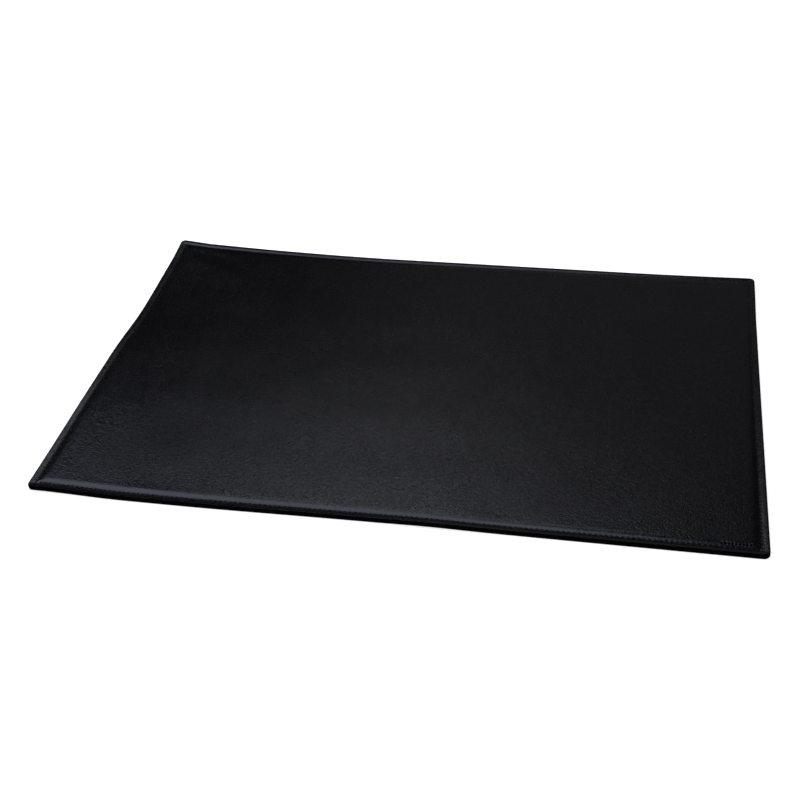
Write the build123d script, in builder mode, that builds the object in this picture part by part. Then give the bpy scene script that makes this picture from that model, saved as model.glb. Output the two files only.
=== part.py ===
from build123d import *

import os

# Padded leather desk mat with a stitched, turned-in edge. Millimetres.
# The origin is on the desk, under the middle of the mat. X runs along the long side and Y to the back.
# From the desk up the layers are the lining, the card inside the turned-in hem, the board, the foam
# and the leather.

# Whole mat
MAT_LENGTH = 600
MAT_WIDTH = 400
CORNER_RADIUS = 5

# Sheet thicknesses, from the desk up
LINING_THICKNESS = 0.6
HEM_THICKNESS = 0.5
BOARD_THICKNESS = 0.7
FOAM_THICKNESS = 1.7
LEATHER_THICKNESS = 0.8

# Foam where the turned edge and the stitches squeeze it
FOAM_AT_RIM = 1.4
FOAM_AT_SEAM = 0.1

# Distances in from the outer edge
RIM_ROUNDING = 1.3
FOLD_ROUNDING = 1
LINING_INSET = 2.5
SEAM_INSET = 6
PADDING_INSET = 14
HEM_WIDTH = 15
CARD_INSET = 15.5

# Stitching
THREAD_DIAMETER = 0.4
FURROW_WIDTH = 0.5
FURROW_DEPTH = 0.3
LINING_FURROW_DEPTH = 0.45
THREAD_GAP = 0.02
SEAM_CORNER_RADIUS = 1.5

# Heights above the desk
board_bottom = LINING_THICKNESS + HEM_THICKNESS
foam_bottom = board_bottom + BOARD_THICKNESS
rim_top = foam_bottom + FOAM_AT_RIM + LEATHER_THICKNESS
seam_top = foam_bottom + FOAM_AT_SEAM + LEATHER_THICKNESS
mat_top = foam_bottom + FOAM_THICKNESS + LEATHER_THICKNESS
cut_top = mat_top + 1


def inset_outline(inset):
    """The mat's outline, this far in from its edge, with the corners rounded as far as they reach."""
    length = MAT_LENGTH - 2 * inset
    width = MAT_WIDTH - 2 * inset
    if inset < CORNER_RADIUS:
        RectangleRounded(length, width, CORNER_RADIUS - inset)
    else:
        Rectangle(length, width)


def seam_path(height):
    """The stitch line all round, at this height."""
    length = MAT_LENGTH - 2 * SEAM_INSET
    width = MAT_WIDTH - 2 * SEAM_INSET
    with BuildSketch(Plane.XY.offset(height)) as outline:
        RectangleRounded(length, width, SEAM_CORNER_RADIUS)
    return outline.sketch.face().outer_wire()


def across_seam(path):
    """The upright plane square to the stitch line where its path starts."""
    return Plane(origin=path @ 0, x_dir=(1, 0, 0), z_dir=path % 0)


def cut_seam_furrow(height, depth):
    """Cut the channel that the thread lies in, into a surface at this height."""
    path = seam_path(height)
    with BuildSketch(across_seam(path)) as section:
        Rectangle(FURROW_WIDTH, 2 * depth)
    sweep(section.sketch, path=path, mode=Mode.SUBTRACT)


def lay_thread(centre_height):
    """One plain loop of thread along the stitch line, with its centre at this height."""
    path = seam_path(centre_height)
    with BuildSketch(across_seam(path)) as section:
        Circle(THREAD_DIAMETER / 2)
    sweep(section.sketch, path=path)


def cut_edge_section(sink):
    """Cut the section of the border, all round: down from the rim to the seam, then the soft roll of
    the padding up to full height. The cut follows the leather's upper side, lowered by sink.
    """
    rim = (RIM_ROUNDING, rim_top - sink)
    seam = (SEAM_INSET, seam_top - sink)
    padding = (PADDING_INSET, mat_top - sink)
    front_edge = Plane(origin=(0, -MAT_WIDTH / 2, 0), x_dir=(0, 1, 0), z_dir=(1, 0, 0))
    with BuildLine(Plane.XY) as stitch_line:
        half_x = MAT_LENGTH / 2 - SEAM_INSET
        half_y = MAT_WIDTH / 2 - SEAM_INSET
        Polyline((-half_x, -half_y), (half_x, -half_y), (half_x, half_y), (-half_x, half_y), close=True)
    with BuildSketch(front_edge) as section:
        with BuildLine():
            Polyline(padding, (PADDING_INSET, cut_top), (RIM_ROUNDING, cut_top), rim, seam)
            TangentArc(padding, seam, tangent=(-1, 0))
        make_face()
    sweep(section.sketch, path=stitch_line.wire(), transition=Transition.RIGHT, mode=Mode.SUBTRACT)


# Non-slip cloth lining, with the bobbin thread's channel in its underside
with BuildPart() as bottom_lining:
    with BuildSketch():
        inset_outline(LINING_INSET)
    extrude(amount=LINING_THICKNESS)
    cut_seam_furrow(0, LINING_FURROW_DEPTH)

# Card that fills the space inside the turned-in hems
with BuildPart() as infill_card:
    with BuildSketch(Plane.XY.offset(LINING_THICKNESS)):
        inset_outline(CARD_INSET)
    extrude(amount=HEM_THICKNESS)

# Fibre board that the leather's edge turns round
with BuildPart() as stiffener_board:
    with BuildSketch(Plane.XY.offset(board_bottom)):
        inset_outline(LEATHER_THICKNESS)
    extrude(amount=BOARD_THICKNESS)

# Foam out to the rim, squeezed under the stitches and full inside them
with BuildPart() as foam_padding:
    with BuildSketch(Plane.XY.offset(foam_bottom)):
        inset_outline(LEATHER_THICKNESS)
    extrude(amount=FOAM_AT_RIM)
    with BuildSketch(Plane.XY.offset(foam_bottom + FOAM_AT_RIM)):
        inset_outline(SEAM_INSET)
    extrude(amount=FOAM_THICKNESS - FOAM_AT_RIM)
    cut_edge_section(LEATHER_THICKNESS)

# Leather over the foam, round the edge and under the board as a hem
with BuildPart() as leather_cover:
    with BuildSketch(Plane.XY.offset(LINING_THICKNESS)):
        inset_outline(0)
    extrude(amount=rim_top - LINING_THICKNESS)
    fillet(edges().group_by(Axis.Z)[0], FOLD_ROUNDING)
    fillet(edges().group_by(Axis.Z)[-1], RIM_ROUNDING)
    with BuildSketch(Plane.XY.offset(rim_top)):
        inset_outline(SEAM_INSET)
    extrude(amount=mat_top - rim_top)
    cut_edge_section(0)
    cut_seam_furrow(seam_top, FURROW_DEPTH)
    with BuildSketch(Plane.XY.offset(LINING_THICKNESS)):
        inset_outline(HEM_WIDTH)
    extrude(amount=HEM_THICKNESS, mode=Mode.SUBTRACT)
    add(stiffener_board.part, mode=Mode.SUBTRACT)
    add(foam_padding.part, mode=Mode.SUBTRACT)

# Top thread of the lockstitch, in the leather's furrow
with BuildPart() as needle_thread:
    lay_thread(seam_top - FURROW_DEPTH + THREAD_GAP + THREAD_DIAMETER / 2)

# Bottom thread of the lockstitch, in the lining's channel and clear of the desk
with BuildPart() as bobbin_thread:
    lay_thread(LINING_FURROW_DEPTH - THREAD_GAP - THREAD_DIAMETER / 2)


pieces = {
    "leather_cover": leather_cover,
    "foam_padding": foam_padding,
    "stiffener_board": stiffener_board,
    "infill_card": infill_card,
    "bottom_lining": bottom_lining,
    "needle_thread": needle_thread,
    "bobbin_thread": bobbin_thread,
}

os.makedirs("parts", exist_ok=True)
for name, piece in pieces.items():
    piece.part.label = name
    export_step(piece.part, f"parts/{name}.step")
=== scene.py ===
import math

import bmesh
import bpy
import numpy as np
from mathutils import Matrix, Vector


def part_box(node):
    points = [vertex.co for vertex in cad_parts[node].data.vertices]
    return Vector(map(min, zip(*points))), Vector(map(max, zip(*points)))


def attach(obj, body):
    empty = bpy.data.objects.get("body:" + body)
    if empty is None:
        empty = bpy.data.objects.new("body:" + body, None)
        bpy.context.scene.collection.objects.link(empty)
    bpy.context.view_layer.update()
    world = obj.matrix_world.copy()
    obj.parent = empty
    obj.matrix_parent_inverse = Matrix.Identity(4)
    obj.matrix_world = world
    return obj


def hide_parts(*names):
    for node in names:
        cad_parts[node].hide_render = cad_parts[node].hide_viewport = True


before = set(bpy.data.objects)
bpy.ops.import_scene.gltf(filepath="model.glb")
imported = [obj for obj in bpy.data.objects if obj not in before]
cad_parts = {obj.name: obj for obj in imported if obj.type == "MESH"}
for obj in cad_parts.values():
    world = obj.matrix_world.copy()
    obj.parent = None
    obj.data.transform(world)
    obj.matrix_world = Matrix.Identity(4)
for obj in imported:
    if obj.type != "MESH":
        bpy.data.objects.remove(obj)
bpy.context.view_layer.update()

# The padded leather desk mat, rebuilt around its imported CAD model. Lengths in this script are millimetres
# until a mesh is made, and metres in Blender. X runs along the mat's long side and Y to the back. Every
# layer is a closed sheet made of rings that follow the mat's outline: from the middle of its upper face,
# out round its edge, to the middle of its lower face. One field of small lifts and shifts then settles all
# the pieces together, as a real mat lies on a desk: nearly flat, with curled corners.

MM = 0.001
scene = bpy.context.scene
rng = np.random.default_rng(7)


# ---------------------------------------------------------------------------------------------- sizes
def node_box(node):
    """Lowest and highest corners of a CAD node in millimetres."""
    low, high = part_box(node)
    return np.array(low) / MM, np.array(high) / MM


cover_low, cover_high = node_box("leather_cover")
foam_low, foam_high = node_box("foam_padding")
board_high = node_box("stiffener_board")[1]
card_high = node_box("infill_card")[1]
lining_low, lining_high = node_box("bottom_lining")
needle_low, needle_high = node_box("needle_thread")
bobbin_low, bobbin_high = node_box("bobbin_thread")

# Half the mat's sides, heights above the desk, and thicknesses
HALF_LENGTH = cover_high[0]
HALF_WIDTH = cover_high[1]
MAT_TOP = cover_high[2]
FOAM_BOTTOM = foam_low[2]
HEM_BOTTOM = cover_low[2]
HEM_TOP = card_high[2]
LEATHER = MAT_TOP - foam_high[2]
FOAM_AT_RIM = 1.4
FOAM_AT_SEAM = 0.1
RIM_TOP = FOAM_BOTTOM + FOAM_AT_RIM + LEATHER
SEAM_TOP = FOAM_BOTTOM + FOAM_AT_SEAM + LEATHER
FOLD_BOTTOM = 0.03
THREAD_RADIUS = (needle_high[2] - needle_low[2]) / 2

# Distances in from the mat's edge
SEAM_INSET = HALF_LENGTH - needle_high[0] + THREAD_RADIUS
BOARD_INSET = HALF_LENGTH - board_high[0]
LINING_INSET = HALF_LENGTH - lining_high[0]
CARD_INSET = HALF_LENGTH - card_high[0]
HEM_WIDTH = 15
RIM_ROUNDING = 1.3
PADDING_INSET = 14
CAP_INSET = 22

# How far in the painted shade of the turned edge reaches on the front, the sides and the back
SHADED_FRONT = 1.35
SHADED_SIDE = 0.75
SHADED_BACK = 2.8

# Corner radius of a ring at the edge, the seam, the end of the roll and the middle's border
CORNER_INSETS = (0, SEAM_INSET, PADDING_INSET, CAP_INSET)
CORNER_RADII = (5, 0.4, 6, 0)

# Stitches along each side. A needle hole falls exactly on each corner of the seam.
LONG_STITCHES = 142
SHORT_STITCHES = 94
SEAM_HALF_LENGTH = HALF_LENGTH - SEAM_INSET
SEAM_HALF_WIDTH = HALF_WIDTH - SEAM_INSET
STITCH = 2 * SEAM_HALF_LENGTH / LONG_STITCHES

# How far from a corner of the seam a ring's points are spread out to reach round the ring's own corner
CORNER_SPAN = 24


# ----------------------------------------------------------------------------------------- small maths
def ramp(value, start, end):
    """0 at start, 1 at end, straight in between."""
    return np.clip((value - start) / (end - start), 0, 1)


def soft(value, start, end):
    """0 at start, 1 at end, and level at both."""
    t = ramp(value, start, end)
    return t * t * (3 - 2 * t)


def bell(distance, width):
    """1 at no distance, falling away smoothly over about this width to either side."""
    return np.exp(-0.5 * (distance / width) ** 2)


# ------------------------------------------------------------------------------------ rings and sheets
def ring_side(inset, half_along, half_across, seam_half, columns):
    """One side of a ring, with the side in front: how far along it each point is, and how far out."""
    radius = float(np.interp(inset, CORNER_INSETS, CORNER_RADII))
    seam_at = np.linspace(-seam_half, seam_half, columns + 1)[:-1]
    straight = half_along - inset - radius
    end = straight + radius * math.pi / 4
    spread_from = seam_half - CORNER_SPAN
    past = np.maximum(np.abs(seam_at) - spread_from, 0)
    travel = np.minimum(np.abs(seam_at), spread_from) + past * (end - spread_from) / CORNER_SPAN
    turning = travel > straight
    angle = np.maximum(travel - straight, 0) / max(radius, 1e-9)
    along = np.where(turning, straight + radius * np.sin(angle), travel)
    out = half_across - inset - np.where(turning, radius * (1 - np.cos(angle)), 0)
    return np.sign(seam_at) * along, out


def ring(inset, per_stitch):
    """x and y of a ring this far in from the mat's edge, anticlockwise from the front left corner, and
    the number of stitches from that corner to each point."""
    along_x, out_y = ring_side(inset, HALF_LENGTH, HALF_WIDTH, SEAM_HALF_LENGTH,
                               int(LONG_STITCHES * per_stitch))
    along_y, out_x = ring_side(inset, HALF_WIDTH, HALF_LENGTH, SEAM_HALF_WIDTH,
                               int(SHORT_STITCHES * per_stitch))
    x = np.concatenate([along_x, out_x, -along_x, -out_x])
    y = np.concatenate([-out_y, along_y, out_y, -along_y])
    return x, y, np.arange(len(x)) / per_stitch


def cap_grid(x, y, long_count, short_count, start, facing_up):
    """The grid that closes a ring: its points, its faces, and which of them is each point of the ring.
    Its points are numbered from start."""
    across = x[:long_count + 1]
    up = y[long_count:long_count + short_count + 1]
    grid_x, grid_y = np.meshgrid(across, up)
    wide = long_count + 1
    faces = []
    for j in range(short_count):
        for i in range(long_count):
            a = start + j * wide + i
            quad = (a, a + 1, a + wide + 1, a + wide)
            faces.append(quad if facing_up else quad[::-1])
    front = [start + i for i in range(long_count)]
    right = [start + j * wide + long_count for j in range(short_count)]
    back = [start + short_count * wide + i for i in range(long_count, 0, -1)]
    left = [start + j * wide for j in range(short_count, 0, -1)]
    return grid_x.ravel(), grid_y.ravel(), faces, front + right + back + left


def bridge(inner, outer):
    """Faces between two neighbouring rings. One may have twice the points of the other."""
    m, n = len(inner), len(outer)
    if m == n:
        return [(inner[i], outer[i], outer[(i + 1) % n], inner[(i + 1) % n]) for i in range(n)]
    faces = []
    few, many = (inner, outer) if m < n else (outer, inner)
    if len(many) != 2 * len(few):
        raise ValueError("neighbouring rings differ by more than two to one")
    for i in range(len(few)):
        a, b = few[i], few[(i + 1) % len(few)]
        c, d, e = many[2 * i], many[2 * i + 1], many[(2 * i + 2) % len(many)]
        fan = [(a, c, d), (a, d, b), (b, d, e)]
        faces += fan if m < n else [corners[::-1] for corners in fan]
    return faces


def sheet_solid(name, section, shape=None):
    """A closed sheet from its section, which is rows of (inset, height, points per stitch), from the
    border of the upper middle outward, round the edge, and back to the border of the lower middle.
    shape, if given, moves the points: shape(xyz, inset, stitches from the corner, on the upper half)."""
    points, faces, rings = [], [], []
    start = 0
    for number, (inset, height, per_stitch) in enumerate(section):
        x, y, count = ring(inset, per_stitch)
        indices = [start + i for i in range(len(x))]
        insets = np.full(len(x), float(inset))
        if number in (0, len(section) - 1):
            x, y, cap_faces, indices = cap_grid(x, y, int(LONG_STITCHES * per_stitch),
                                                int(SHORT_STITCHES * per_stitch), start, number == 0)
            faces += cap_faces
            count = np.zeros(len(x))
            insets = np.minimum(HALF_LENGTH - np.abs(x), HALF_WIDTH - np.abs(y))
        upper = np.full(len(x), float(number < len(section) / 2))
        points.append(np.stack([x, y, np.full(len(x), float(height)), insets, count, upper], 1))
        rings.append(indices)
        start += len(x)
    for inner, outer in zip(rings, rings[1:]):
        faces += bridge(inner, outer)
    table = np.concatenate(points)
    xyz = table[:, :3].copy()
    if shape is not None:
        xyz = shape(xyz, table[:, 3], table[:, 4], table[:, 5] > 0.5)
    return new_piece(name, xyz, faces)


def new_piece(name, xyz, faces):
    """A smooth mesh object in the scene, from points in millimetres."""
    mesh = bpy.data.meshes.new(name)
    mesh.from_pydata((xyz * MM).tolist(), [], faces)
    mesh.update()
    mesh.shade_smooth()
    piece = bpy.data.objects.new(name, mesh)
    scene.collection.objects.link(piece)
    return piece


def rounded_edge(inset, low, high, radius, per_stitch, steps):
    """Rows down the edge of a plain sheet with rounded arrises."""
    angles = np.linspace(0, math.pi / 2, steps + 1)
    top = [(inset + radius * (1 - math.sin(a)), high - radius * (1 - math.cos(a)), per_stitch)
           for a in angles]
    bottom = [(row_inset, low + high - height, per_stitch) for row_inset, height, _ in reversed(top)]
    return top + bottom


# --------------------------------------------------------------------------------------- how it lies
def settled(xyz):
    """Where the points of the flat mat go when it lies on the desk. Both back corners curl up, the tip of
    the left one a little more, and so does the front left corner, slightly. The left side and the front
    lift in shallow waves. The left side is drawn in, the right side spreads at the back, the front bows
    out and the back is drawn forward. Nothing goes below the desk."""
    x, y, z = xyz.T
    back_left_curl = 7.9 * ramp(x, -60, -300) ** 1.75 * ramp(y, 60, 200) ** 1.5
    back_right_curl = 1.6 * ramp(x, 190, 300) ** 1.5 * ramp(y, 40, 200) ** 1.5
    front_left_curl = 0.6 * ramp(x, -200, -300) ** 1.5 * ramp(y, -100, -200) ** 1.5
    left_wave = 1.4 * soft(y, -170, -40) * soft(y, 90, 0) * soft(x, -150, -300)
    front_wave = 0.8 * bell(x - 38, 26) * ramp(y, -20, -200)
    corner_flick = 1.6 * ramp(x, -268, -300) * ramp(y, 170, 200)
    lift = corner_flick + back_left_curl + back_right_curl + front_left_curl + left_wave + front_wave

    drawn_in = 2.4 * soft(y, -10, 70) + 0.55 * soft(y, -120, -20) * soft(y, 70, 0) + 1.6 * soft(y, 90, 200)
    drawn_in += 0.1 * soft(y, 20, -60) + 0.5 * bell(y - 100, 35)
    spread_out = 0.6 * soft(y, 120, 185) * ramp(x, 0, 300)
    bowed_out = (0.3 + 2.1 * soft(x, -290, -215) * soft(x, 0, -170)) * ramp(y, 150, -200)
    shrunk = 0.5 * ramp(y, 0, 200)
    return np.stack([x + drawn_in * ramp(x, 250, -300) + spread_out, y - bowed_out - shrunk, z + lift], 1)


def settle(piece):
    """Moves a finished flat piece to how it lies."""
    mesh = piece.data
    xyz = np.empty(len(mesh.vertices) * 3)
    mesh.vertices.foreach_get("co", xyz)
    xyz = settled(xyz.reshape(-1, 3) / MM) * MM
    mesh.vertices.foreach_set("co", xyz.ravel())
    mesh.update()


# -------------------------------------------------------------------------------- relief of the padding
WAVES = 14
wave_length = rng.uniform(45, 160, WAVES)
wave_heading = rng.uniform(0, math.pi, WAVES)
wave_phase = rng.uniform(0, 2 * math.pi, WAVES)


def padding_relief(x, y, inset):
    """Slow, shallow unevenness of the foam under the leather, and one soft crease by the curled corner:
    a ridge with a valley behind it. Both fade out towards the seam."""
    heights = np.zeros(len(x))
    for length, heading, phase in zip(wave_length, wave_heading, wave_phase):
        heights += np.sin((x * math.cos(heading) + y * math.sin(heading)) * 2 * math.pi / length + phase)
    heights *= 0.03

    from_corner = x + 275
    past_crease = y - (171.5 - 0.36 * from_corner - 0.0025 * from_corner ** 2)
    between_ends = soft(x, -297, -272) * soft(x, -196, -232)
    heights += 0.85 * (bell(past_crease + 2, 8) - bell(past_crease - 10, 8)) * between_ends
    return heights * soft(inset, 8, 24)


def roll_off(inset):
    """Height of the leather's soft roll from the seam up to the padding's full height."""
    return SEAM_TOP + (MAT_TOP - SEAM_TOP) * (1 - (1 - ramp(inset, SEAM_INSET, PADDING_INSET)) ** 2.35)


def flange(inset):
    """Height of the leather between the rim's crest and the seam."""
    return RIM_TOP + (SEAM_TOP - RIM_TOP) * ramp(inset, RIM_ROUNDING, SEAM_INSET) ** 1.15


def corner_rows(inset, height, radius, start, end, steps, per_stitch):
    """Rows along a rounded corner about this inset and height. The turn is in degrees: 0 faces up and 90
    faces out."""
    turns = np.radians(np.linspace(start, end, steps))
    return [(inset - radius * math.sin(a), height + radius * math.cos(a), per_stitch) for a in turns]


# ------------------------------------------------------------------------------------------- leather
def leather_section():
    """The leather's outer side, from the padded middle over the roll, the seam and the rim, and round
    the edge as the hem; then back along its inner side."""
    rows = [(CAP_INSET, MAT_TOP, 1), (19.5, MAT_TOP, 1), (17, MAT_TOP, 2), (15.4, MAT_TOP, 2)]
    rows += [(d, roll_off(d), 2) for d in (14, 12.8, 11.6, 10.5)]
    rows += [(d, roll_off(d), 4) for d in (9.5, 8.7, 8, 7.4)]
    rows += [(d, roll_off(d), 8) for d in (6.95, 6.6, 6.3, 6.1)]
    rows += [(d, flange(d), 8) for d in (5.9, 5.65, 5.3)]
    rows += [(d, flange(d), 4) for d in (4.9, 4.4, 3.8, 3.1, 2.4, 1.8)]
    rows += corner_rows(RIM_ROUNDING, RIM_TOP - RIM_ROUNDING, RIM_ROUNDING, 5, 90, 7, 4)
    fold = 0.25
    rows += corner_rows(fold, FOLD_BOTTOM + fold, fold, 90, 180, 4, 2)
    rows += [(1.4, FOLD_BOTTOM + 0.05, 2), (2.4, HEM_BOTTOM - 0.05, 2), (3.2, HEM_BOTTOM, 2)]
    rows += [(7, HEM_BOTTOM, 1)]
    hem_edge = 0.12
    rows += [(HEM_WIDTH - hem_edge, HEM_BOTTOM, 1), (HEM_WIDTH, HEM_BOTTOM + hem_edge, 1)]
    rows += [(HEM_WIDTH, HEM_TOP - hem_edge, 1), (HEM_WIDTH - hem_edge, HEM_TOP, 1)]
    rows += [(8, HEM_TOP, 0.5), (1.2, HEM_TOP, 0.5), (LEATHER, HEM_TOP + 0.3, 0.5)]
    rows += corner_rows(RIM_ROUNDING, RIM_TOP - RIM_ROUNDING, RIM_ROUNDING - LEATHER, 90, 0, 3, 0.5)
    rows += [(4, flange(4) - LEATHER, 0.5), (SEAM_INSET, SEAM_TOP - LEATHER, 0.5)]
    rows += [(d, roll_off(d) - LEATHER, 0.5) for d in (8, 10, 12, PADDING_INSET)]
    rows += [(CAP_INSET, MAT_TOP - LEATHER, 0.5)]
    return rows


def shape_leather(xyz, inset, stitches, upper):
    """Needle holes, the leather drawn down around them, the furrow under the thread, gathers round the
    corners of the turned edge, and the relief of the padding."""
    x, y, z = xyz.T
    along = (stitches - np.round(stitches)) * STITCH
    across = inset - SEAM_INSET
    by_seam = upper & (inset > RIM_ROUNDING) & (inset < PADDING_INSET)
    hole = 0.6 * bell(along, 0.45) * bell(across, 0.36)
    drawn_down = 0.2 * bell(along, 1.15) * bell(across, 1.2)
    furrow = 0.14 * bell(across, 0.35)
    xyz[:, 2] = z - np.where(by_seam, hole + drawn_down + furrow, 0)

    corner_x = np.sign(x) * (HALF_LENGTH - CORNER_RADII[0])
    corner_y = np.sign(y) * (HALF_WIDTH - CORNER_RADII[0])
    beyond = (np.abs(x) > np.abs(corner_x)) & (np.abs(y) > np.abs(corner_y))
    turn = np.arctan2(np.abs(y - corner_y), np.abs(x - corner_x))
    low = ramp(z, RIM_TOP - RIM_ROUNDING, HEM_BOTTOM + 0.4) * ramp(inset, 9, 3) * (z < RIM_TOP)
    gather = 0.14 * np.cos(turn * 20) * np.sin(turn * 2) * low * beyond
    xyz[:, 0] += gather * np.sign(x) * np.cos(turn)
    xyz[:, 1] += gather * np.sign(y) * np.sin(turn)

    above_board = z > FOAM_BOTTOM + 0.05
    xyz[:, 2] += np.where(above_board, padding_relief(x, y, inset), 0)
    return xyz


# The pressed mark: where its middle is, its lozenges, how deep they go, and where the foot of a lozenge's
# wall is, from 0 in its middle to 1 on its outline
MARK_X = 275
MARK_Y = -189.8
LOZENGES = 9
LOZENGE_PITCH = 2.7
LOZENGE_WIDTH = 1.9
LOZENGE_HEIGHT = 4.8
MARK_DEPTH = 0.3
MARK_FOOT = 0.75

# Only what is above this height near the mark is cut and pressed: the leather's upper side, and a little
# of its inner side behind the mark.
MARK_LOWEST = RIM_TOP - 0.6


def lozenge_reach(x, y):
    """0 in the middle of the nearest lozenge of the mark, 1 on its outline and more outside it."""
    from_first = (x - MARK_X) / LOZENGE_PITCH + (LOZENGES - 1) / 2
    number = min(max(round(from_first), 0), LOZENGES - 1)
    off_x = (from_first - number) * LOZENGE_PITCH
    return abs(off_x) / (LOZENGE_WIDTH / 2) + abs(y - MARK_Y) / (LOZENGE_HEIGHT / 2)


def near_lozenge(xyz, centre):
    """Whether a point in metres is high enough and close to the lozenge whose middle is at this x."""
    across = abs(xyz.x / MM - centre)
    along = abs(xyz.y / MM - MARK_Y)
    return across < LOZENGE_WIDTH and along < LOZENGE_HEIGHT and xyz.z / MM > MARK_LOWEST


def press_mark(piece):
    """Presses a plain row of small lozenges into the front right corner of the padding's roll. The leather
    is first cut along each lozenge's outline and along the foot of its wall."""
    edit = bmesh.new()
    edit.from_mesh(piece.data)
    for number in range(LOZENGES):
        centre = MARK_X + (number - (LOZENGES - 1) / 2) * LOZENGE_PITCH
        for reach in (1, MARK_FOOT):
            for right, back in ((1, 1), (1, -1), (-1, 1), (-1, -1)):
                faces = [face for face in edit.faces if near_lozenge(face.calc_center_median(), centre)]
                lines = {edge for face in faces for edge in face.edges}
                points = {point for face in faces for point in face.verts}
                corner = ((centre + right * reach * LOZENGE_WIDTH / 2) * MM, MARK_Y * MM, 0)
                bmesh.ops.bisect_plane(edit, geom=faces + list(lines) + list(points), dist=1e-6,
                                       plane_co=corner,
                                       plane_no=(right / LOZENGE_WIDTH, back / LOZENGE_HEIGHT, 0))
    for vertex in edit.verts:
        x, y, z = vertex.co / MM
        if abs(y - MARK_Y) < LOZENGE_HEIGHT / 2 and z > MARK_LOWEST and lozenge_reach(x, y) < 1:
            vertex.co.z -= MARK_DEPTH * float(ramp(lozenge_reach(x, y), 1, MARK_FOOT)) * MM
    edit.to_mesh(piece.data)
    edit.free()
    piece.data.shade_smooth()


def shade_turned_edge(piece):
    """Gives painted shade, the second material, to the turned edge, every face that faces down, and the
    mark.
    """
    for face in piece.data.polygons:
        x, y, _ = face.center / MM
        past_x = abs(x) - HALF_LENGTH + CORNER_RADII[0]
        past_y = abs(y) - HALF_WIDTH + CORNER_RADII[0]
        past = math.hypot(past_x, past_y) if min(past_x, past_y) > 0 else max(past_x, past_y)
        along_side = SHADED_BACK if y > 0 else SHADED_FRONT
        shaded_inset = SHADED_SIDE + (along_side - SHADED_SIDE) * float(soft(past_y - past_x, -3, 3))
        # Painted shade: these faces get the darker leather with no reflection.
        if past > CORNER_RADII[0] - shaded_inset or face.normal.z < 0 or lozenge_reach(x, y) < 1:
            face.material_index = 1


# ------------------------------------------------------------------------------------ the inner layers
def foam_section():
    """The foam, thinned under the seam and rounded at its edge."""
    top = [(CAP_INSET, MAT_TOP - LEATHER, 1), (18, MAT_TOP - LEATHER, 1)]
    top += [(d, roll_off(d) - LEATHER, 1) for d in (14, 12, 10, 8.6, 7.6)]
    top += [(d, roll_off(d) - LEATHER, 2) for d in (6.8, 6.2)]
    top += [(d, flange(d) - LEATHER, 2) for d in (5.6, 4.8, 3.6, 2.4)]
    edge = corner_rows(RIM_ROUNDING, RIM_TOP - RIM_ROUNDING, RIM_ROUNDING - BOARD_INSET, 0, 90, 4, 2)
    edge += corner_rows(BOARD_INSET + 0.2, FOAM_BOTTOM + 0.2, 0.2, 90, 180, 3, 2)
    return top + edge + [(6, FOAM_BOTTOM, 1), (CAP_INSET, FOAM_BOTTOM, 1)]


def shape_foam(xyz, inset, stitches, upper):
    """Dents at the stitches and the padding's relief, both a little below the leather's."""
    x, y, z = xyz.T
    along = (stitches - np.round(stitches)) * STITCH
    dent = 0.12 * bell(along, 1.2) * bell(inset - SEAM_INSET, 1.2)
    xyz[:, 2] = z - np.where(upper & (inset > BOARD_INSET + 0.3), dent, 0)
    xyz[:, 2] += np.where(upper, padding_relief(x, y, inset) - 0.02, 0)
    return xyz


def plain_section(inset, low, high, arris):
    """A flat sheet with soft arrises and closer rows by the seam, where the thread goes through."""
    inner = [(CAP_INSET, high, 1)]
    by_seam = [d for d in (8.5, 7, 6.4, 6, 5.6, 5, 3.8) if d > inset + arris + 0.3]
    top = [(d, high, 2) for d in by_seam]
    bottom = [(d, low, 2) for d in reversed(by_seam)]
    return inner + top + rounded_edge(inset, low, high, arris, 2, 3) + bottom + [(CAP_INSET, low, 1)]


def shape_board(xyz, inset, stitches, upper):
    """Needle holes in the board, as pits with a raised burr, on both faces."""
    along = (stitches - np.round(stitches)) * STITCH
    reach = np.hypot(along, inset - SEAM_INSET)
    pit = np.where(inset > BOARD_INSET + 0.3, 0.2 * bell(reach, 0.4) - 0.03 * bell(reach - 1.2, 0.4), 0)
    xyz[:, 2] -= np.where(upper, pit, -pit)
    return xyz


def shape_card(xyz, inset, stitches, upper):
    """The card's edge is cut by hand, a little unevenly."""
    x, y, _ = xyz.T
    trimmed = 0.25 + 0.12 * np.sin(x / 17) + 0.12 * np.sin(y / 13 + 1)
    at_edge = inset < CARD_INSET + 1
    at_end = at_edge & (np.abs(x) > HALF_LENGTH - CARD_INSET - 2)
    xyz[:, 0] -= np.where(at_end, np.sign(x) * trimmed, 0)
    at_side = at_edge & (np.abs(y) > HALF_WIDTH - CARD_INSET - 2)
    xyz[:, 1] -= np.where(at_side, np.sign(y) * trimmed, 0)
    return xyz


def lining_section():
    """The lining: close rows on its lower face, where the bobbin thread lies in a furrow."""
    top, low = lining_high[2], lining_low[2]
    rows = [(CAP_INSET, top, 0.5), (8, top, 1), (4, top, 2)]
    rows += rounded_edge(LINING_INSET, low, top, 0.22, 4, 3)
    rows += [(d, low, 4) for d in (3.4, 4.3, 5, 5.4, 5.7, 5.9, 6.1, 6.3, 6.6, 7, 7.7)]
    return rows + [(8.8, low, 2), (11, low, 1), (16, low, 1), (CAP_INSET, low, 1)]


def shape_lining(xyz, inset, stitches, upper):
    """The furrow of the lower face, deeper at the needle holes."""
    along = (stitches - np.round(stitches)) * STITCH
    across = inset - SEAM_INSET
    lower = ~upper & (inset > LINING_INSET + 0.3)
    furrow = 0.4 * bell(across, 0.42) + 0.12 * bell(along, 0.7) * bell(across, 0.7)
    xyz[:, 2] += np.where(lower, furrow, 0)
    return xyz


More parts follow.
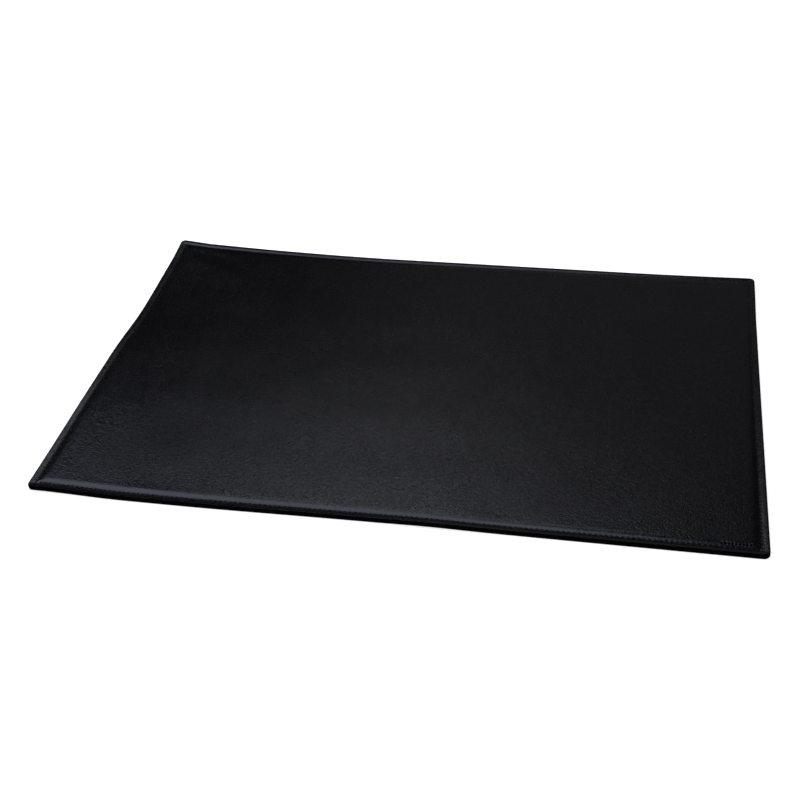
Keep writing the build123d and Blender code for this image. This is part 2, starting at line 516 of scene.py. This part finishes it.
# ------------------------------------------------------------------------------------------- threads
def stitch_row(name, height, radius, bow, dive, slant, sides, steps, facing):
    """A stitch from each needle hole to the next, all round: a short length of three-ply thread that
    dives into both holes. bow is how much its middle stands up, dive how far its ends go in, and slant how
    far they lie to either side of the seam. facing is 1 for the mat's upper side and -1 for the lower."""
    hole_x, hole_y, _ = ring(SEAM_INSET, 1)
    begin = np.stack([hole_x, hole_y], 1)
    end = np.roll(begin, -1, axis=0)
    count = len(begin)
    length = np.linalg.norm(end - begin, axis=1)[:, None]
    along = (end - begin) / length
    side = np.stack([-along[:, 1], along[:, 0]], 1)

    t = np.linspace(0, 1, steps)
    out = 2 * t - 1
    turn = np.linspace(0, 2 * math.pi, sides, endpoint=False)
    vary = rng.normal(0, 1, (count, 3))
    level = height + facing * (bow * (1 - out ** 2) - dive * np.abs(out) ** 7)
    twist = turn[None, None] - 8 * t[None, :, None] + 2 * math.pi * rng.random((count, 1, 1))
    lobes = radius * (0.8 + 0.2 * np.sqrt(np.abs(np.cos(1.5 * twist))))
    lobes = lobes * (1 - 0.3 * np.abs(out) ** 8)[None, :, None]

    middle = begin[:, None] + (end - begin)[:, None] * t[None, :, None]
    sway = slant * (1 + 0.15 * vary[:, :1]) * (-out)[None] + 0.03 * vary[:, 1:2]
    middle = middle + side[:, None] * sway[:, :, None]
    across = np.cos(turn)[None, None] * lobes
    xyz = np.empty((count, steps, sides, 3))
    xyz[..., 0] = middle[:, :, None, 0] + side[:, None, None, 0] * across
    xyz[..., 1] = middle[:, :, None, 1] + side[:, None, None, 1] * across
    xyz[..., 2] = level[None, :, None] + np.sin(turn)[None, None] * lobes

    faces = []
    for stitch in range(count):
        first = stitch * steps * sides
        for i in range(steps - 1):
            row = first + i * sides
            for k in range(sides):
                right = (k + 1) % sides
                faces.append((row + k, row + sides + k, row + sides + right, row + right))
        faces.append(tuple(first + k for k in range(sides)))
        last = first + (steps - 1) * sides
        faces.append(tuple(last + k for k in reversed(range(sides))))
    return new_piece(name, xyz.reshape(-1, 3), faces)


# ----------------------------------------------------------------------------------------- materials
class Surface:
    """A Principled material with small helpers to link procedural patterns in object coordinates."""

    def __init__(self, name, **values):
        self.material = bpy.data.materials.new(name)
        self.material.use_nodes = True
        self.nodes = self.material.node_tree.nodes
        self.links = self.material.node_tree.links
        self.shader = self.nodes["Principled BSDF"]
        self.place = self.nodes.new("ShaderNodeTexCoord").outputs["Object"]
        for socket, value in values.items():
            self.shader.inputs[socket.replace("_", " ")].default_value = value

    def link(self, output, socket):
        """Joins a pattern to one of the shader's own sockets."""
        self.links.new(output, self.shader.inputs[socket])

    def noise(self, size, detail=3.0, roughness=0.5, stretch=(1, 1, 1)):
        """Fractal noise with features of this size in millimetres."""
        mapping = self.nodes.new("ShaderNodeMapping")
        mapping.inputs["Scale"].default_value = [s / (size * MM) for s in stretch]
        texture = self.nodes.new("ShaderNodeTexNoise")
        texture.inputs["Scale"].default_value = 1
        texture.inputs["Detail"].default_value = detail
        texture.inputs["Roughness"].default_value = roughness
        self.links.new(self.place, mapping.inputs["Vector"])
        self.links.new(mapping.outputs["Vector"], texture.inputs["Vector"])
        return texture.outputs["Fac"]

    def cells(self, size, feature="F1", randomness=1.0):
        """Pebbles of about this size in millimetres, as the distance from their middles."""
        texture = self.nodes.new("ShaderNodeTexVoronoi")
        texture.feature = feature
        texture.inputs["Scale"].default_value = 1 / (size * MM)
        texture.inputs["Randomness"].default_value = randomness
        self.links.new(self.place, texture.inputs["Vector"])
        return texture.outputs["Distance"]

    def spread(self, value, low, high, to_low, to_high):
        """The value's range from low to high stretched to another range."""
        node = self.nodes.new("ShaderNodeMapRange")
        numbers = {"From Min": low, "From Max": high, "To Min": to_low, "To Max": to_high}
        for socket, number in numbers.items():
            node.inputs[socket].default_value = number
        self.links.new(value, node.inputs["Value"])
        return node.outputs["Result"]

    def blend(self, value, dark, light):
        """Two colours mixed by a value from 0 to 1."""
        node = self.nodes.new("ShaderNodeMix")
        node.data_type = "RGBA"
        node.inputs["A"].default_value = (*dark, 1)
        node.inputs["B"].default_value = (*light, 1)
        self.links.new(value, node.inputs["Factor"])
        return node.outputs["Result"]

    def inset(self):
        """Distance in from the mat's edge in millimetres."""
        split = self.nodes.new("ShaderNodeSeparateXYZ")
        self.links.new(self.place, split.inputs["Vector"])
        from_side = [self.maths("SUBTRACT", half * MM, self.maths("ABSOLUTE", split.outputs[axis], 0))
                     for axis, half in (("X", HALF_LENGTH), ("Y", HALF_WIDTH))]
        return self.maths("DIVIDE", self.maths("MINIMUM", *from_side), MM)

    def maths(self, operation, first, second):
        """One sum, difference or the like of two values, each a number or a pattern."""
        node = self.nodes.new("ShaderNodeMath")
        node.operation = operation
        for socket, value in zip(node.inputs, (first, second)):
            if isinstance(value, (int, float)):
                socket.default_value = value
            else:
                self.links.new(value, socket)
        return node.outputs["Value"]

    def bump(self, height, depth, strength=1.0, under=None):
        """A bump whose height runs over this depth in millimetres, on top of another bump if given."""
        node = self.nodes.new("ShaderNodeBump")
        if isinstance(strength, (int, float)):
            node.inputs["Strength"].default_value = strength
        else:
            self.links.new(strength, node.inputs["Strength"])
        node.inputs["Distance"].default_value = depth * MM
        self.links.new(height, node.inputs["Height"])
        if under is not None:
            self.links.new(under, node.inputs["Normal"])
        return node.outputs["Normal"]


def leather_material():
    """Black pebbled leather. Small scuffs and larger blotches are a little paler and shinier than the rest,
    and the grain is shallower where the leather is stretched over the edge."""
    surface = Surface("black_leather", IOR=1.5)
    blotches = surface.noise(38, 3)
    pebbles = surface.cells(1.7, "SMOOTH_F1")
    scuffs = surface.noise(1.5, 2, 0.5)
    mottle = surface.noise(3, 2)
    worn = surface.maths("ADD", surface.spread(scuffs, 0.3, 0.7, 0, 0.8),
                         surface.spread(blotches, 0.3, 0.7, 0, 0.2))
    surface.link(surface.blend(worn, (0.0012, 0.0012, 0.0014), (0.005, 0.005, 0.0056)), "Base Color")
    surface.link(surface.spread(worn, 0, 1, 0.34, 0.14), "Roughness")
    stretched = surface.spread(surface.inset(), 10, 19, 0.35, 1)
    grain = surface.bump(pebbles, 0.22, stretched, surface.bump(mottle, 0.2, stretched))
    surface.link(surface.bump(scuffs, 0.1, stretched, grain), "Normal")
    return surface.material


def shaded_edge_material():
    """Painted shade: the same leather, darker and with no reflection, turned round the edge and under, and
    in the pressed mark.
    """
    # A darker colour and no reflection at all paint shade on this leather.
    surface = Surface("painted_shade_leather_edge", Specular_IOR_Level=0.0, IOR=1.5)
    fibres = surface.noise(0.5, 4, 0.65)
    surface.link(surface.blend(fibres, (0.0012, 0.0012, 0.0014), (0.0034, 0.0033, 0.0035)), "Base Color")
    surface.link(surface.spread(fibres, 0.3, 0.7, 0.75, 0.95), "Roughness")
    surface.link(surface.bump(fibres, 0.06), "Normal")
    return surface.material


def thread_material(name):
    """Bonded black sewing thread with fine fibres."""
    surface = Surface(name, IOR=1.5)
    fibres = surface.noise(0.12, 3, 0.6)
    surface.link(surface.blend(fibres, (0.004, 0.004, 0.0045), (0.018, 0.018, 0.02)), "Base Color")
    surface.link(surface.spread(fibres, 0.3, 0.7, 0.3, 0.5), "Roughness")
    surface.link(surface.bump(fibres, 0.02), "Normal")
    return surface.material


def foam_material():
    """Dark grey closed-cell foam."""
    surface = Surface("grey_foam", Specular_IOR_Level=0.3)
    bubbles = surface.cells(0.7)
    surface.link(surface.blend(bubbles, (0.03, 0.03, 0.032), (0.075, 0.075, 0.078)), "Base Color")
    surface.link(surface.spread(bubbles, 0, 0.8, 0.95, 0.8), "Roughness")
    surface.link(surface.bump(bubbles, 0.15), "Normal")
    return surface.material


def board_material(name, dark, light):
    """Pressed fibre board or card, with short fibres along its length."""
    surface = Surface(name, Specular_IOR_Level=0.3)
    fibres = surface.noise(2.2, 5, 0.65, (1, 4, 1))
    surface.link(surface.blend(surface.spread(fibres, 0.3, 0.7, 0, 1), dark, light), "Base Color")
    surface.link(surface.spread(fibres, 0.3, 0.7, 0.75, 0.9), "Roughness")
    surface.link(surface.bump(fibres, 0.05), "Normal")
    return surface.material


def lining_material():
    """Black non-slip microfibre: a short nap over a fine dotted knit."""
    surface = Surface("black_microfibre", Specular_IOR_Level=0.25, Sheen_Weight=0.25, Sheen_Roughness=0.5)
    nap = surface.noise(9, 4, 0.6)
    knit = surface.cells(0.9, "F1", 0.25)
    surface.link(surface.blend(nap, (0.006, 0.006, 0.007), (0.016, 0.016, 0.018)), "Base Color")
    surface.link(surface.spread(nap, 0.3, 0.7, 0.85, 0.97), "Roughness")
    surface.link(surface.bump(knit, 0.12), "Normal")
    return surface.material


def floor_material():
    """A pale, faintly glowing table top, and the wall behind it."""
    surface = Surface("pale_floor", Base_Color=(0.85, 0.85, 0.85, 1), Specular_IOR_Level=0.0,
                      Emission_Color=(1, 1, 1, 1), Emission_Strength=0.78)
    haze = surface.noise(220, 2)
    surface.link(surface.spread(haze, 0, 1, 0.85, 0.95), "Roughness")
    return surface.material


# -------------------------------------------------------------------------------------------- pieces
leather = sheet_solid("leather_top", leather_section(), shape_leather)
press_mark(leather)
leather.data.materials.append(leather_material())
# The second material is the leather's painted shade.
leather.data.materials.append(shaded_edge_material())
shade_turned_edge(leather)

foam = sheet_solid("foam_layer", foam_section(), shape_foam)
foam.data.materials.append(foam_material())

board = sheet_solid("fibre_sheet", plain_section(BOARD_INSET, HEM_TOP, FOAM_BOTTOM, 0.15), shape_board)
board.data.materials.append(board_material("brown_fibre_board", (0.10, 0.065, 0.04), (0.20, 0.14, 0.09)))

card = sheet_solid("card_infill", plain_section(CARD_INSET, HEM_BOTTOM, HEM_TOP, 0.1), shape_card)
card.data.materials.append(board_material("grey_card", (0.20, 0.20, 0.19), (0.34, 0.33, 0.31)))

lining = sheet_solid("lining_cloth", lining_section(), shape_lining)
lining.data.materials.append(lining_material())

needle = stitch_row("needle_stitches", height=SEAM_TOP + 0.02, radius=0.27, bow=0.12, dive=0.95,
                    slant=0.28, sides=12, steps=14, facing=1)
needle.data.materials.append(thread_material("needle_thread_black"))

bobbin_height = (bobbin_low[2] + bobbin_high[2]) / 2
bobbin = stitch_row("bobbin_stitches", height=bobbin_height, radius=THREAD_RADIUS, bow=0, dive=0.7,
                    slant=0.2, sides=9, steps=11, facing=-1)
bobbin.data.materials.append(thread_material("bobbin_thread_black"))

for piece, node, slot_name in (
        (leather, "leather_cover", "leather"), (foam, "foam_padding", "foam"),
        (board, "stiffener_board", "board"), (card, "infill_card", "card"),
        (lining, "bottom_lining", "lining"), (needle, "needle_thread", "needle_thread"),
        (bobbin, "bobbin_thread", "bobbin_thread")):
    settle(piece)
    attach(piece, "root")
    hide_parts(node)

# --------------------------------------------------------------------------------- floor, light, camera
FLOOR = 25
WALL_RADIUS = 0.98 * FLOOR
WALL_HEIGHT = 14
WALL_SIDES = 64


def stage_piece(name, points, faces, material):
    """A plain part of the studio, in metres."""
    mesh = bpy.data.meshes.new(name)
    mesh.from_pydata(points, [], faces)
    mesh.materials.append(material)
    stage = bpy.data.objects.new(name, mesh)
    scene.collection.objects.link(stage)
    return stage


pale = floor_material()
stage_piece("floor", [(-FLOOR, -FLOOR, 0), (FLOOR, -FLOOR, 0), (FLOOR, FLOOR, 0), (-FLOOR, FLOOR, 0)],
            [(0, 1, 2, 3)], pale)

# A pale wall stands round the floor's far edge. It gives the mat no light and no reflection.
wall_points = []
wall_faces = []
for number in range(WALL_SIDES):
    turn = 2 * math.pi * number / WALL_SIDES
    for height in (0, WALL_HEIGHT):
        wall_points.append((WALL_RADIUS * math.cos(turn), WALL_RADIUS * math.sin(turn), height))
    this = 2 * number
    following = (this + 2) % (2 * WALL_SIDES)
    wall_faces.append((this, this + 1, following + 1, following))
wall = stage_piece("backdrop", wall_points, wall_faces, pale)
wall.visible_diffuse = False
wall.visible_glossy = False


def direction(azimuth, elevation):
    """The direction this many degrees clockwise from the back, seen from above, and above the desk."""
    turn, rise = math.radians(azimuth), math.radians(elevation)
    return Vector((math.sin(turn) * math.cos(rise), math.cos(turn) * math.cos(rise), math.sin(rise)))


def softbox(name, azimuth, elevation, distance, width, height, spin, brightness, colour):
    """A rectangular area light that faces the middle of the mat. Its sizes and its distance are metres,
    spin is its own turn in degrees, and brightness is its radiance."""
    lamp = bpy.data.lights.new(name, "AREA")
    lamp.shape = "RECTANGLE"
    lamp.size = width
    lamp.size_y = height
    lamp.energy = brightness * math.pi * width * height
    lamp.color = colour
    holder = bpy.data.objects.new(name, lamp)
    scene.collection.objects.link(holder)
    toward = direction(azimuth, elevation)
    holder.matrix_world = (Matrix.Translation(toward * distance)
                           @ toward.to_track_quat("Z", "Y").to_matrix().to_4x4()
                           @ Matrix.Rotation(math.radians(spin), 4, "Z"))


# Azimuth, elevation, distance, width, height, spin, brightness and colour of each light. The two front
# fills are for views from behind.
softbox("key_softbox", -75.2, 70.5, 1.0, 0.63, 1.2, -3, 1.84, (0.75, 0.79, 1))
softbox("back_softbox", -2.6, 60, 1.15, 0.59, 0.14, 17, 1.72, (0.84, 0.86, 1))
softbox("low_glow", 12, 23.1, 1.0, 0.9, 0.79, -28, 0.082, (0.95, 0.96, 1))
softbox("back_strip", -21.6, 48.5, 1.0, 0.48, 0.05, -4, 4.0, (0.9, 0.92, 1))
softbox("left_fill", -80, 35, 3.5, 1.6, 1.2, 0, 4, (1, 1, 1))
softbox("right_fill", 80, 35, 3.5, 1.6, 1.2, 0, 4, (1, 1, 1))
softbox("front_left_fill", -145, 22, 3.5, 3.4, 2.2, 0, 0.12, (0.92, 0.94, 1))
softbox("front_right_fill", 145, 22, 3.5, 3.4, 2.2, 0, 0.12, (0.92, 0.94, 1))

world = bpy.data.worlds.new("studio")
world.use_nodes = True
background = world.node_tree.nodes["Background"]
background.inputs["Color"].default_value = (0.95, 0.96, 1, 1)
background.inputs["Strength"].default_value = 0.01
scene.world = world

# The camera looks at one point of the desk, from this direction and distance, with a slight roll.
VIEW_AZIMUTH = 180 - 12.573
VIEW_ELEVATION = 36.578
VIEW_DISTANCE = 1.1372
VIEW_ROLL = -3.182
LOOKS_AT = (-0.01395, -0.03748, 0)
FOCAL_LENGTH = 57.25

lens_view = direction(VIEW_AZIMUTH, VIEW_ELEVATION)
eye = Vector(LOOKS_AT) + lens_view * VIEW_DISTANCE
camera_data = bpy.data.cameras.new("camera")
camera_data.sensor_width = 36
camera_data.lens = FOCAL_LENGTH
camera_data.clip_start = 0.01
camera = bpy.data.objects.new("camera", camera_data)
scene.collection.objects.link(camera)
camera.matrix_world = (Matrix.Translation(eye) @ lens_view.to_track_quat("Z", "Y").to_matrix().to_4x4()
                       @ Matrix.Rotation(math.radians(VIEW_ROLL), 4, "Z"))
scene.camera = camera
scene.view_settings.view_transform = "Standard"
